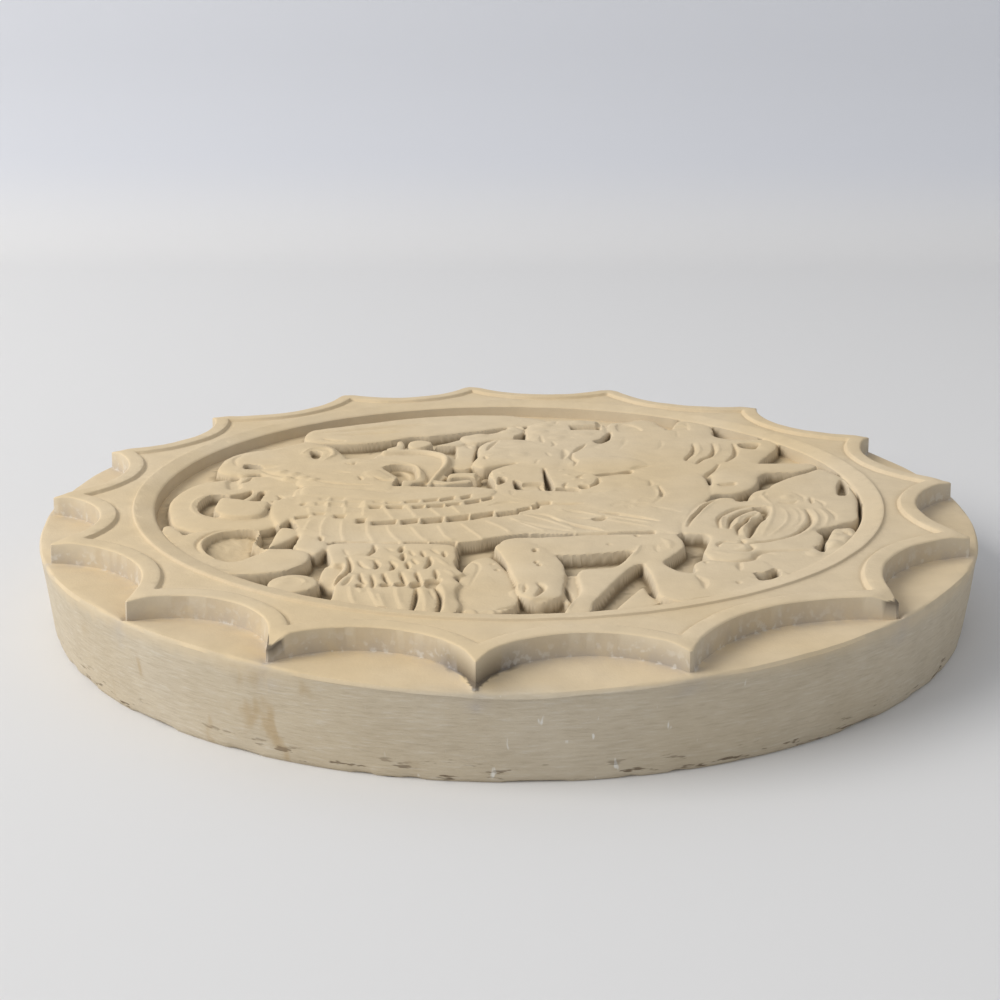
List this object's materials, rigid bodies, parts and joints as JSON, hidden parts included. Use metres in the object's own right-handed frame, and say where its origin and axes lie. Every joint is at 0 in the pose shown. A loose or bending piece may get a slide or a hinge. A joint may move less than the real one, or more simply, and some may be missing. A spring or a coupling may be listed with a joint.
{
  "type": "decorative wall plaque",
  "caption": "Thick round cast wall plaque with a scalloped rim and a ringed, sunk field that holds a feathered warrior in low relief.",
  "frame": {"origin": "middle of the flat back, where it lies against the wall", "axes": "+Z out of the carved face, +Y towards the figure's head, +X to the figure's right-hand side as seen"},
  "size_m": [0.2, 0.2, 0.0228],
  "materials": {
    "cast": "matt cream casting plaster, greyer on the edge"
  },
  "bodies": {
    "root": {"plaque": "cast"}
  },
  "joints": []
}
